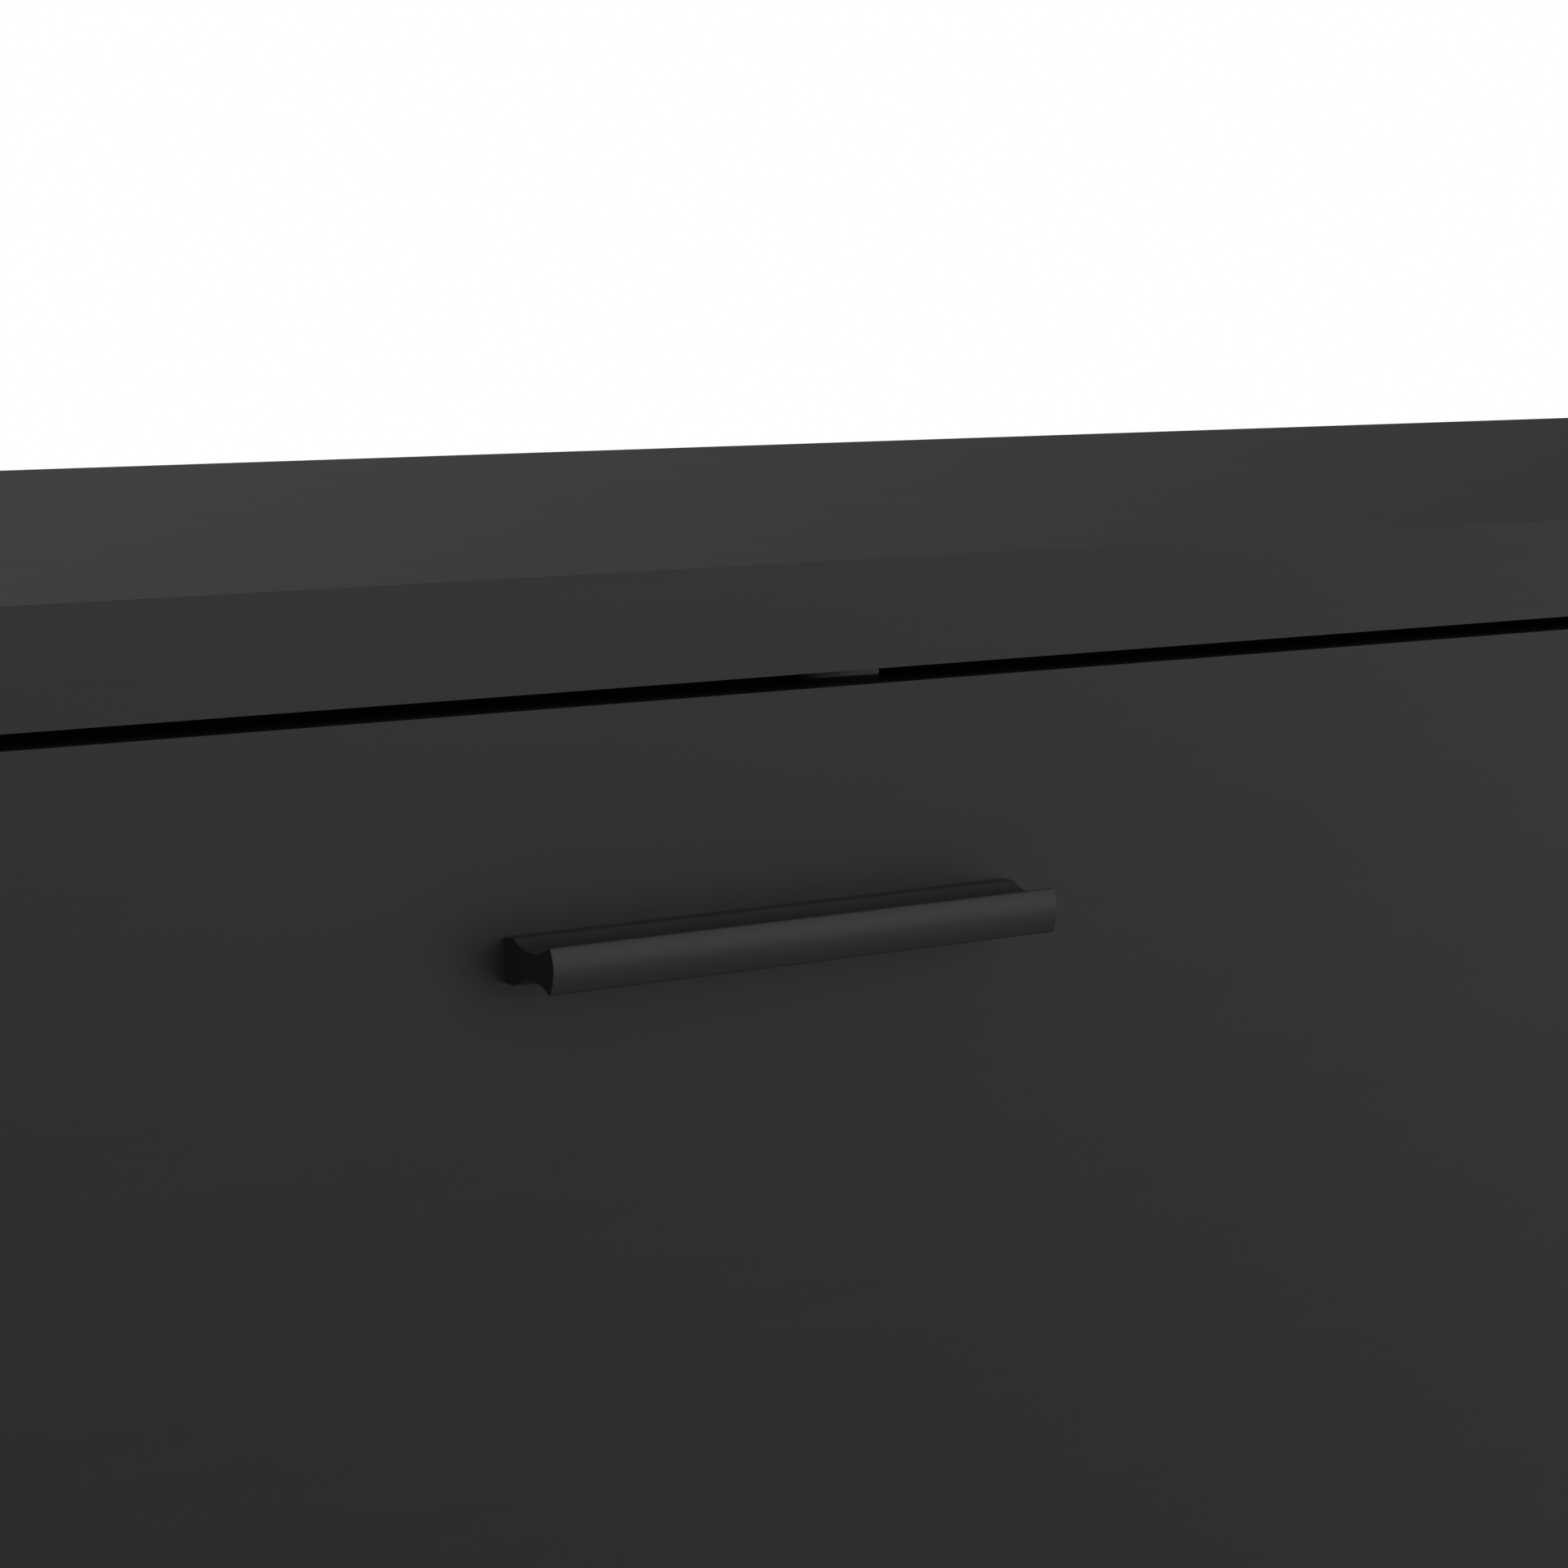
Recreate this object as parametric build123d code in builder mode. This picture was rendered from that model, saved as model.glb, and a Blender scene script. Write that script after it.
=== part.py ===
from build123d import *

import os
from collections import namedtuple

# A low dresser of foil-covered boards: two columns of three drawers under one thick top.
# Millimetres, +Z up, the fronts face -Y. The origin is on the floor, under the middle of
# the whole dresser with its handles.

# ---------------------------------------------------------------- driving dimensions
width = 1200
height = 800
depth = 400  # the boards alone, without the handles

top_thickness = 22
board = 15  # side panels, partition, bottoms, rail, plinth and drawer fronts
drawer_board = 12  # sides and backs of the drawer boxes
thin_board = 3  # hardboard of the back panel and the drawer bottoms

gap = 3  # between neighbouring fronts, and between the top and the upper fronts
front_height = 239
front_clearance = 1.5  # from the back of a closed front to the carcass
glide_height = 4
glide_radius = 7
glide_chamfer = 0.8
glide_insets = (35, 30)  # from the plinth's face, and from the rear edges of the boards
plinth_height = 48
plinth_setback = 30
rail_depth = 60
back_margin = 1  # the back panel stays this far inside the outline

# Bar handle: a straight length of extrusion whose section is waisted between two lips
handle_length = 120
handle_drop = 46.8  # from a front's top edge down to the middle of its handle
lip_half_height = 4.5
handle_lip = 3.3  # how far the lip against the front reaches
waist_half_height = 2.6
grip_half_height = 4.75
grip_edge = 15.8  # where the grip's edges stand, from the front's face
handle_projection = 17.3  # the middle of the bowed grip
handle_round = 0.6
screw_spacing = 96
handle_thread_depth = 9
thread_play = 0.05
screw_radius = 2
screw_clearance_radius = 2.3
screw_end_gap = 1  # from a screw's tip to the bottom of its threaded hole
screw_head_radius = 4
screw_head_height = 2.4
screw_cross = (4.4, 0.9)  # span and width of the driver's cross
screw_cross_depth = 1.4

# Drawer boxes and their runners
box_height = 170
box_length = 350
box_lift = 25  # from a front's lower edge up to its box
side_gap = 4.5  # between a box and the carcass, each side
bottom_lift = 10  # from the box's lower edge up to the groove of its bottom
bottom_groove = (3.4, 5)  # height and depth
bottom_play = 0.4  # from the edge of a drawer bottom to the end of its groove
drawer_cam_lifts = (35, 135)  # from the box's lower edge
runner_groove = (17, 7)
runner_groove_start = 5  # behind the drawer front
runner_section = (16.6, 6)  # height, and how deep it reaches into the drawer side
runner_corner = 2
runner_length = 330
runner_play = 0.5  # from the start of the groove to the runner's front end
runner_lift = 85  # from the box's lower edge up to the middle of the runner
runner_pegs = (40, 280)  # from the runner's front end
peg_radius = 2.4
peg_length = 6.5
peg_end_gap = 0.3

# ---------------------------------------------------------------- derived places
front_face = handle_projection - (depth + handle_projection) / 2
rear_face = front_face + depth
front_back = front_face + board
carcass_front = front_back + front_clearance
carcass_back = rear_face - thin_board
top_underside = height - top_thickness
floor_of_sides = glide_height
bottom_low = glide_height + plinth_height
inner_side = width / 2 - board
plinth_front = carcass_front + plinth_setback
rail_underside = top_underside - board
front_width = (width - 2 * gap) / 2
front_centre = (front_width + gap) / 2
bay_centre = (board / 2 + inner_side) / 2
box_width = inner_side - board / 2 - 2 * side_gap
box_inside = box_width - 2 * drawer_board
box_end = front_back + box_length
runner_start = front_back + runner_groove_start + runner_play

columns = {"left": -1, "right": 1}
rows = ["upper", "middle", "lower"]
ends = (-1, 1)  # the left and the right one of a pair

# ---------------------------------------------------------------- cam fittings
# A cam is seated in the face of one board and pulls on a bolt set in the other board.
# A place is a plane on the seat's face: Z out of the board, X towards the other board.
CamSize = namedtuple("CamSize", "radius pocket middle reach anchor")
carcass_cam = CamSize(radius=7.5, pocket=12.5, middle=board / 2, reach=24, anchor=11)
drawer_cam = CamSize(radius=6, pocket=9.5, middle=drawer_board / 2, reach=24, anchor=8)
bolt_bore = 3.2  # this and the next three are radii
bolt_head = 2.8
bolt_neck = 1.8
bolt_hole = 2.5
bolt_head_length = 2
cam_slack = 0.1
cam_cross_share = 1.3  # span of the driver's cross, as a share of the cam's radius
cam_cross_width = 1.4
cam_cross_depth = 1.5


def bolt_entry(place, size):
    """Where a fitting's bolt crosses from the cam's board into the other one."""
    point = place.origin + place.x_dir * size.reach - place.z_dir * size.middle
    return Plane(origin=point, z_dir=place.x_dir)


def drill_cam_seats(places, size):
    """Cut the cams' pockets and the bores of their bolts into the board being built."""
    for place in places:
        with Locations(place):
            Hole(size.radius, size.pocket)
        with Locations(bolt_entry(place, size)):
            Hole(bolt_bore, size.reach)


def drill_bolt_holes(places, size):
    """Cut the blind holes that the bolts are driven into."""
    for place in places:
        with Locations(bolt_entry(place, size)):
            Hole(bolt_hole, size.anchor + cam_slack)


def make_cam_fitting(size):
    """One cam with its bolt, seated in the XY plane, the bolt leaving along +X."""
    with BuildPart() as fitting:
        with BuildSketch(Plane.XY):
            Circle(size.radius - cam_slack)
        extrude(amount=-size.pocket)
        with BuildSketch(Plane.YZ):
            with Locations((0, -size.middle)):
                Circle(bolt_bore)
        extrude(amount=size.radius, mode=Mode.SUBTRACT)
        with BuildSketch(Plane.XY):
            Rectangle(size.radius * cam_cross_share, cam_cross_width)
            Rectangle(cam_cross_width, size.radius * cam_cross_share)
        extrude(amount=-cam_cross_depth, mode=Mode.SUBTRACT)
        with BuildSketch(Plane.YZ.offset(cam_slack)):
            with Locations((0, -size.middle)):
                Circle(bolt_head)
        extrude(amount=bolt_head_length)
        with BuildSketch(Plane.YZ.offset(bolt_head_length + cam_slack)):
            with Locations((0, -size.middle)):
                Circle(bolt_neck)
        extrude(amount=size.reach - bolt_head_length - cam_slack)
        with BuildSketch(Plane.YZ.offset(size.reach)):
            with Locations((0, -size.middle)):
                Circle(bolt_hole - cam_slack)
        extrude(amount=size.anchor)
    return fitting.part


def place_fittings(fitting, places):
    """Put one fitting at each place, as separate solids of one group."""
    with BuildPart() as group:
        with Locations(*places):
            add(fitting)
    return group.part


# ---------------------------------------------------------------- carcass fitting places
cam_insets = (110, 60)  # from the front and from the rear edges of the boards
cam_rows = (carcass_front + cam_insets[0], carcass_back - cam_insets[1])
side_to_top = {
    sign: [
        Plane(
            origin=(sign * inner_side, y, top_underside - carcass_cam.reach),
            x_dir=(0, 0, 1),
            z_dir=(-sign, 0, 0),
        )
        for y in cam_rows
    ]
    for sign in columns.values()
}
partition_to_top = [
    Plane(
        origin=(board / 2, y, top_underside - carcass_cam.reach),
        x_dir=(0, 0, 1),
        z_dir=(1, 0, 0),
    )
    for y in cam_rows
]
rail_to_side = {
    sign: [
        Plane(
            origin=(
                sign * (inner_side - carcass_cam.reach),
                carcass_front + rail_depth / 2,
                rail_underside,
            ),
            x_dir=(sign, 0, 0),
            z_dir=(0, 0, -1),
        )
    ]
    for sign in columns.values()
}
plinth_to_side = {
    sign: [
        Plane(
            origin=(
                sign * (inner_side - carcass_cam.reach),
                plinth_front + board,
                floor_of_sides + plinth_height / 2,
            ),
            x_dir=(sign, 0, 0),
            z_dir=(0, 1, 0),
        )
    ]
    for sign in columns.values()
}
# The two bottoms meet the partition from both sides, so their bolts are staggered.
bottom_stagger = 14


def bottom_places(sign, outward):
    """Cams under one bottom panel, at its outer end or at the partition."""
    edge = inner_side - carcass_cam.reach if outward else board / 2 + carcass_cam.reach
    direction = sign if outward else -sign
    return [
        Plane(
            origin=(sign * edge, y + sign * bottom_stagger, bottom_low),
            x_dir=(direction, 0, 0),
            z_dir=(0, 0, -1),
        )
        for y in cam_rows
    ]


bottom_to_side = {sign: bottom_places(sign, True) for sign in columns.values()}
bottom_to_partition = {sign: bottom_places(sign, False) for sign in columns.values()}


# ---------------------------------------------------------------- drawer places
def front_top(row):
    """Height of the top edge of a front; row 0 is the upper one."""
    return top_underside - gap - row * (front_height + gap)


def box_low(row):
    return front_top(row) - front_height + box_lift


def runner_peg_places(sign, wall_x, inward):
    """Where the runners of one column are pegged into one wall of their bay."""
    return [
        Plane(
            origin=(wall_x, runner_start + along, box_low(row) + runner_lift),
            z_dir=(inward, 0, 0),
        )
        for row in range(len(rows))
        for along in runner_pegs
    ]


# ---------------------------------------------------------------- carcass boards
def make_top_panel():
    with BuildPart() as top_panel:
        with BuildSketch(Plane.XY.offset(top_underside)):
            with Locations((0, (front_face + rear_face) / 2)):
                Rectangle(width, depth)
        extrude(amount=top_thickness)
        for places in (*side_to_top.values(), partition_to_top):
            drill_bolt_holes(places, carcass_cam)
    return top_panel.part


def make_side_panel(sign):
    with BuildPart() as side_panel:
        with BuildSketch(Plane.YZ.offset(sign * inner_side)):
            with Locations(
                ((carcass_front + carcass_back) / 2, (floor_of_sides + top_underside) / 2)
            ):
                Rectangle(carcass_back - carcass_front, top_underside - floor_of_sides)
        extrude(amount=sign * board)
        drill_cam_seats(side_to_top[sign], carcass_cam)
        for places in (rail_to_side, plinth_to_side, bottom_to_side):
            drill_bolt_holes(places[sign], carcass_cam)
        for place in runner_peg_places(sign, sign * inner_side, -sign):
            with Locations(place):
                Hole(peg_radius + cam_slack, peg_length + peg_end_gap)
    return side_panel.part


def make_centre_partition():
    """Stands on the floor between the two bays, notched for the rail and the plinth."""
    with BuildPart() as partition:
        with BuildSketch(Plane.YZ.offset(-board / 2)):
            with BuildLine():
                Polyline(
                    (carcass_front, bottom_low),
                    (carcass_front, rail_underside),
                    (carcass_front + rail_depth, rail_underside),
                    (carcass_front + rail_depth, top_underside),
                    (carcass_back, top_underside),
                    (carcass_back, floor_of_sides),
                    (plinth_front + board, floor_of_sides),
                    (plinth_front + board, bottom_low),
                    close=True,
                )
            make_face()
        extrude(amount=board)
        drill_cam_seats(partition_to_top, carcass_cam)
        for sign, places in bottom_to_partition.items():
            drill_bolt_holes(places, carcass_cam)
            for place in runner_peg_places(sign, sign * board / 2, sign):
                with Locations(place):
                    Hole(peg_radius + cam_slack, peg_length + peg_end_gap)
    return partition.part


def make_bottom_panel(sign):
    with BuildPart() as bottom_panel:
        with BuildSketch(Plane.XY.offset(bottom_low)):
            with Locations((sign * bay_centre, (carcass_front + carcass_back) / 2)):
                Rectangle(inner_side - board / 2, carcass_back - carcass_front)
        extrude(amount=board)
        drill_cam_seats(bottom_to_side[sign], carcass_cam)
        drill_cam_seats(bottom_to_partition[sign], carcass_cam)
    return bottom_panel.part


def make_front_rail():
    """Lies flat under the top, from side to side, across the notch of the partition."""
    with BuildPart() as front_rail:
        with BuildSketch(Plane.XY.offset(rail_underside)):
            with Locations((0, carcass_front + rail_depth / 2)):
                Rectangle(2 * inner_side, rail_depth)
        extrude(amount=board)
        for places in rail_to_side.values():
            drill_cam_seats(places, carcass_cam)
    return front_rail.part


def make_plinth():
    with BuildPart() as plinth:
        with BuildSketch(Plane.XY.offset(floor_of_sides)):
            with Locations((0, plinth_front + board / 2)):
                Rectangle(2 * inner_side, board)
        extrude(amount=plinth_height)
        for places in plinth_to_side.values():
            drill_cam_seats(places, carcass_cam)
    return plinth.part


def make_back_panel():
    """One hardboard sheet nailed over the rear edges, a little inside the outline."""
    with BuildPart() as back_panel:
        with BuildSketch(Plane.XZ.offset(-rear_face)):
            with Locations((0, (bottom_low + top_underside) / 2)):
                Rectangle(width - 2 * back_margin, top_underside - bottom_low - back_margin)
        extrude(amount=thin_board)
    return back_panel.part


def make_drawer_runners():
    """Moulded strips that the drawer sides slide on, pegged to the walls of each bay."""
    runner_height, reach = runner_section
    thickness = side_gap + reach
    walls = [(sign, wall) for sign in columns.values() for wall in ("outer", "inner")]
    with BuildPart() as runners:
        for sign, wall in walls:
            wall_x = sign * (inner_side if wall == "outer" else board / 2)
            inward = -sign if wall == "outer" else sign
            for row in range(len(rows)):
                with BuildSketch(Plane.YZ.offset(wall_x)):
                    with Locations(
                        (runner_start + runner_length / 2, box_low(row) + runner_lift)
                    ):
                        RectangleRounded(runner_length, runner_height, runner_corner)
                extrude(amount=inward * thickness)
                with BuildSketch(Plane.YZ.offset(wall_x)):
                    with Locations(
                        *[
                            (runner_start + along, box_low(row) + runner_lift)
                            for along in runner_pegs
                        ]
                    ):
                        Circle(peg_radius)
                extrude(amount=-inward * peg_length)
    return runners.part


def make_carcass_cams():
    groups = [partition_to_top]
    for places in (side_to_top, rail_to_side, plinth_to_side, bottom_to_side, bottom_to_partition):
        groups += list(places.values())
    places = [place for group in groups for place in group]
    return place_fittings(make_cam_fitting(carcass_cam), places)


def make_floor_glides():
    """Six nylon pads, two under each side panel and two under the partition."""
    upright_middles = (-inner_side - board / 2, 0, inner_side + board / 2)
    glide_rows = (plinth_front + glide_insets[0], carcass_back - glide_insets[1])
    with BuildPart() as glides:
        with BuildSketch(Plane.XY):
            with Locations(*[(x, y) for x in upright_middles for y in glide_rows]):
                Circle(glide_radius)
        extrude(amount=glide_height)
        low_edges = glides.edges().group_by(Axis.Z)[0]
        chamfer(low_edges, length=glide_chamfer)
    return glides.part


# ---------------------------------------------------------------- drawers
def cam_heights(row):
    return [box_low(row) + lift for lift in drawer_cam_lifts]


def side_to_front(sign, row, end):
    """Cams in one side board that pull it onto the drawer front; end is -1 or 1."""
    inner_face = sign * bay_centre + end * box_inside / 2
    return [
        Plane(
            origin=(inner_face, front_back + drawer_cam.reach, z),
            x_dir=(0, -1, 0),
            z_dir=(-end, 0, 0),
        )
        for z in cam_heights(row)
    ]


def back_to_side(sign, row, end):
    """Cams in the back board that pull one side board onto it."""
    inner_face = sign * bay_centre + end * box_inside / 2
    return [
        Plane(
            origin=(inner_face - end * drawer_cam.reach, box_end - drawer_board, z),
            x_dir=(end, 0, 0),
            z_dir=(0, -1, 0),
        )
        for z in cam_heights(row)
    ]


def screw_places(sign, row, y):
    """Planes across the two handle screws at one depth, facing into the drawer."""
    middle = sign * front_centre
    return [
        Plane(
            origin=(middle + half * screw_spacing / 2, y, front_top(row) - handle_drop),
            z_dir=(0, 1, 0),
        )
        for half in ends
    ]


def make_drawer_front(sign, row):
    groove_height, groove_depth = bottom_groove
    with BuildPart() as front:
        with BuildSketch(Plane.XZ.offset(-front_back)):
            with Locations((sign * front_centre, front_top(row) - front_height / 2)):
                Rectangle(front_width, front_height)
        extrude(amount=board)
        with BuildSketch(Plane.XZ.offset(-front_back)):
            with Locations((sign * bay_centre, box_low(row) + bottom_lift + groove_height / 2)):
                Rectangle(box_inside + 2 * groove_depth, groove_height)
        extrude(amount=groove_depth, mode=Mode.SUBTRACT)
        with Locations(*screw_places(sign, row, front_back)):
            Hole(screw_clearance_radius, board)
        for end in ends:
            drill_bolt_holes(side_to_front(sign, row, end), drawer_cam)
    return front.part


def make_handle(sign, row):
    """The section is drawn across the handle, in depth and height, then extruded along it."""
    middle = front_top(row) - handle_drop
    lip_line = front_face - handle_lip
    grip_line = front_face - grip_edge
    waist_line = (lip_line + grip_line) / 2
    lip_low, lip_high = middle - lip_half_height, middle + lip_half_height
    grip_low, grip_high = middle - grip_half_height, middle + grip_half_height
    left_end = sign * front_centre - handle_length / 2
    with BuildPart() as handle:
        with BuildSketch(Plane.YZ.offset(left_end)) as section:
            with BuildLine():
                Polyline(
                    (lip_line, lip_low),
                    (front_face, lip_low),
                    (front_face, lip_high),
                    (lip_line, lip_high),
                )
                ThreePointArc(
                    (lip_line, lip_high),
                    (waist_line, middle + waist_half_height),
                    (grip_line, grip_high),
                )
                ThreePointArc(
                    (grip_line, grip_high),
                    (front_face - handle_projection, middle),
                    (grip_line, grip_low),
                )
                ThreePointArc(
                    (grip_line, grip_low),
                    (waist_line, middle - waist_half_height),
                    (lip_line, lip_low),
                )
            make_face()
            fillet(section.vertices(), handle_round)
        extrude(amount=handle_length)
        with Locations(*screw_places(sign, row, front_face)):
            Hole(screw_radius + thread_play, handle_thread_depth)
    return handle.part


def make_handle_screws(sign, row):
    """Two pan-head screws that come through the front from inside the drawer."""
    cross_span, cross_width = screw_cross
    with BuildPart() as screws:
        for place in screw_places(sign, row, front_back):
            with BuildSketch(place):
                Circle(screw_head_radius)
            extrude(amount=screw_head_height)
            with BuildSketch(place):
                Circle(screw_radius)
            extrude(amount=-(board + handle_thread_depth - screw_end_gap))
            with BuildSketch(place.offset(screw_head_height)):
                Rectangle(cross_span, cross_width)
                Rectangle(cross_width, cross_span)
            extrude(amount=-screw_cross_depth, mode=Mode.SUBTRACT)
    return screws.part


def make_side_board(sign, row, end):
    """One side of a drawer box; end is -1 for the left board and 1 for the right one."""
    low = box_low(row)
    groove_height, groove_depth = bottom_groove
    slot_height, slot_depth = runner_groove
    inner_face = sign * bay_centre + end * box_inside / 2
    outer_face = inner_face + end * drawer_board
    with BuildPart() as side_board:
        with BuildSketch(Plane.YZ.offset(inner_face)):
            with Locations(((front_back + box_end) / 2, low + box_height / 2)):
                Rectangle(box_length, box_height)
        extrude(amount=end * drawer_board)
        with BuildSketch(Plane.YZ.offset(inner_face)):
            with Locations(((front_back + box_end) / 2, low + bottom_lift + groove_height / 2)):
                Rectangle(box_length, groove_height)
        extrude(amount=end * groove_depth, mode=Mode.SUBTRACT)
        with BuildSketch(Plane.YZ.offset(outer_face)):
            with Locations(
                ((front_back + runner_groove_start + box_end) / 2, low + runner_lift)
            ):
                Rectangle(box_length - runner_groove_start, slot_height)
        extrude(amount=-end * slot_depth, mode=Mode.SUBTRACT)
        drill_cam_seats(side_to_front(sign, row, end), drawer_cam)
        drill_bolt_holes(back_to_side(sign, row, end), drawer_cam)
    return side_board.part


def make_back_board(sign, row):
    """Stands between the sides, above the groove, so that the bottom slides in under it."""
    lowest = box_low(row) + bottom_lift + bottom_groove[0]
    highest = box_low(row) + box_height
    with BuildPart() as back_board:
        with BuildSketch(Plane.XZ.offset(-box_end)):
            with Locations((sign * bay_centre, (lowest + highest) / 2)):
                Rectangle(box_inside, highest - lowest)
        extrude(amount=drawer_board)
        for end in ends:
            drill_cam_seats(back_to_side(sign, row, end), drawer_cam)
    return back_board.part


def make_drawer_bottom(sign, row):
    groove_height, groove_depth = bottom_groove
    bite = groove_depth - bottom_play
    lowest = box_low(row) + bottom_lift + (groove_height - thin_board) / 2
    with BuildPart() as drawer_bottom:
        with BuildSketch(Plane.XY.offset(lowest)):
            with Locations((sign * bay_centre, (front_back - bite + box_end) / 2)):
                Rectangle(box_inside + 2 * bite, box_end - front_back + bite)
        extrude(amount=thin_board)
    return drawer_bottom.part


def make_drawer_cams(sign, row):
    places = []
    for end in ends:
        places += side_to_front(sign, row, end)
        places += back_to_side(sign, row, end)
    return place_fittings(make_cam_fitting(drawer_cam), places)


# ---------------------------------------------------------------- write the parts
os.makedirs("parts", exist_ok=True)


def write_part(part, label):
    part.label = label
    export_step(part, f"parts/{label}.step")


write_part(make_top_panel(), "top_panel")
write_part(make_centre_partition(), "centre_partition")
write_part(make_front_rail(), "front_rail")
write_part(make_plinth(), "plinth")
write_part(make_back_panel(), "back_panel")
write_part(make_drawer_runners(), "drawer_runners")
write_part(make_carcass_cams(), "carcass_cam_fittings")
write_part(make_floor_glides(), "floor_glides")
for column, sign in columns.items():
    write_part(make_side_panel(sign), f"{column}_side_panel")
    write_part(make_bottom_panel(sign), f"{column}_bottom_panel")
    for row, row_name in enumerate(rows):
        drawer = f"{row_name}_{column}_drawer"
        write_part(make_drawer_front(sign, row), f"{drawer}_front")
        write_part(make_handle(sign, row), f"{drawer}_handle")
        write_part(make_handle_screws(sign, row), f"{drawer}_handle_screws")
        for side_name, end in columns.items():
            write_part(make_side_board(sign, row, end), f"{drawer}_{side_name}_side")
        write_part(make_back_board(sign, row), f"{drawer}_back")
        write_part(make_drawer_bottom(sign, row), f"{drawer}_bottom")
        write_part(make_drawer_cams(sign, row), f"{drawer}_cam_fittings")
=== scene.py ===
# %% [markdown]
# # A black dresser with bar-handled drawers
# The boards, drawers and fittings come in as a finished model in metres. This lesson gives
# them their finishes, adds the small parts that a joiner fits last, and lights the piece like
# a studio picture. The dresser stands on the floor at height 0, its fronts face -Y, and X
# runs to the viewer's right.

# %% Load the dresser
import math

import bmesh
import bpy
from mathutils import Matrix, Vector


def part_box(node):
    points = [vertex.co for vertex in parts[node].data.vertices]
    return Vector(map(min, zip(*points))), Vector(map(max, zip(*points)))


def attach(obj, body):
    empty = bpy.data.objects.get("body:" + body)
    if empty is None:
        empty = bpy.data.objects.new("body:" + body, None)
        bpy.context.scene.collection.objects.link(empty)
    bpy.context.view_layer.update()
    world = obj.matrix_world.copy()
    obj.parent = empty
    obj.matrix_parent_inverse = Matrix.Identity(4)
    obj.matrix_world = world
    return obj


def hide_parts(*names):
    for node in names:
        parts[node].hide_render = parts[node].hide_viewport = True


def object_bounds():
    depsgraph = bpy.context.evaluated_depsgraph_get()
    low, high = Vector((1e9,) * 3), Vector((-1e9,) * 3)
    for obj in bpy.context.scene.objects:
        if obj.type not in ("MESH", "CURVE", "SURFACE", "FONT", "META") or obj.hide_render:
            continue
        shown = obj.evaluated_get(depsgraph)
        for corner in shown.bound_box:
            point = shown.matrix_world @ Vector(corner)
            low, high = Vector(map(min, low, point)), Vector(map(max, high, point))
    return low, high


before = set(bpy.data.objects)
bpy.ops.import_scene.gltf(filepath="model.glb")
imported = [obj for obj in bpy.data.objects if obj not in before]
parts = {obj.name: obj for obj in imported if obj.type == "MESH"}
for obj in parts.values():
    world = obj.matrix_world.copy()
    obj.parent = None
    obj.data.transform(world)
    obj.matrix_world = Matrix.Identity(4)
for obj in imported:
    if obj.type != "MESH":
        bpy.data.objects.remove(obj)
cad_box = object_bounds()
drawers = sorted({name.removesuffix("_front") for name in parts if name.endswith("_drawer_front")})
print("parts", len(parts), "drawers", drawers)

# %% [markdown]
# ## Where the camera stands
# A close look at one drawer, from a little left of its handle and just above the top, with a
# long lens so that the edges stay nearly parallel. The camera is placed from the boxes of the
# drawer's front and the top, so it would follow them if the model changed. Aiming by two
# angles (how far it turns to the right and how far it looks down) keeps the picture level,
# which a free look-at rotation wouldn't promise.

# %% Camera
MM = 0.001
SENSOR = 36.0
LENS = 89.44
TURN_RIGHT = math.radians(35.386)
LOOK_DOWN = math.radians(7.692)
LEFT_OF_HANDLE = 435.2 * MM
AHEAD_OF_FRONT = 619.0 * MM
ABOVE_TOP = 59.1 * MM
SHOWN_DRAWER = "upper_left_drawer"

front_low, front_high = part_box(f"{SHOWN_DRAWER}_front")
top_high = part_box("top_panel")[1]
front_middle_x = (front_low[0] + front_high[0]) / 2

camera_data = bpy.data.cameras.new("studio_camera")
camera_data.sensor_width = SENSOR
camera_data.lens = LENS
camera = bpy.data.objects.new("studio_camera", camera_data)
camera.location = (
    front_middle_x - LEFT_OF_HANDLE,
    front_low[1] - AHEAD_OF_FRONT,
    top_high[2] + ABOVE_TOP,
)
camera.rotation_euler = (math.pi / 2 - LOOK_DOWN, 0.0, -TURN_RIGHT)
bpy.context.collection.objects.link(camera)
bpy.context.scene.camera = camera
bpy.context.scene.view_settings.view_transform = "Standard"
print("camera at", tuple(round(value, 3) for value in camera.location))

# %% [markdown]
# ## Helpers for finishes
# Every finish here is built from the same few moves a finisher makes: a streak pattern
# stretched along the grain, a mix of two close shades, a little unevenness in the gloss and a
# shallow relief. Small helpers keep each finish short. The patterns read the object's own
# coordinates, which are metres in this model, so a scale of 1000 means one cell per
# millimetre and the grain has its true size on every board.

# %% Finish helpers
def start_finish(name, roughness, specular=0.5, metallic=0.0):
    """A new material with its shader's constant values set."""
    finish = bpy.data.materials.new(name)
    finish.use_nodes = True
    shader = finish.node_tree.nodes["Principled BSDF"]
    shader.inputs["Roughness"].default_value = roughness
    shader.inputs["Specular IOR Level"].default_value = specular
    shader.inputs["Metallic"].default_value = metallic
    return finish, finish.node_tree, shader


def pattern(tree, cells_per_metre, detail):
    """Noise with its own number of cells per metre along X, Y and Z."""
    place = tree.nodes.new("ShaderNodeTexCoord")
    stretch = tree.nodes.new("ShaderNodeMapping")
    stretch.inputs["Scale"].default_value = cells_per_metre
    noise = tree.nodes.new("ShaderNodeTexNoise")
    noise.inputs["Scale"].default_value = 1.0
    noise.inputs["Detail"].default_value = detail
    tree.links.new(place.outputs["Object"], stretch.inputs["Vector"])
    tree.links.new(stretch.outputs["Vector"], noise.inputs["Vector"])
    return noise.outputs[0]


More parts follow.
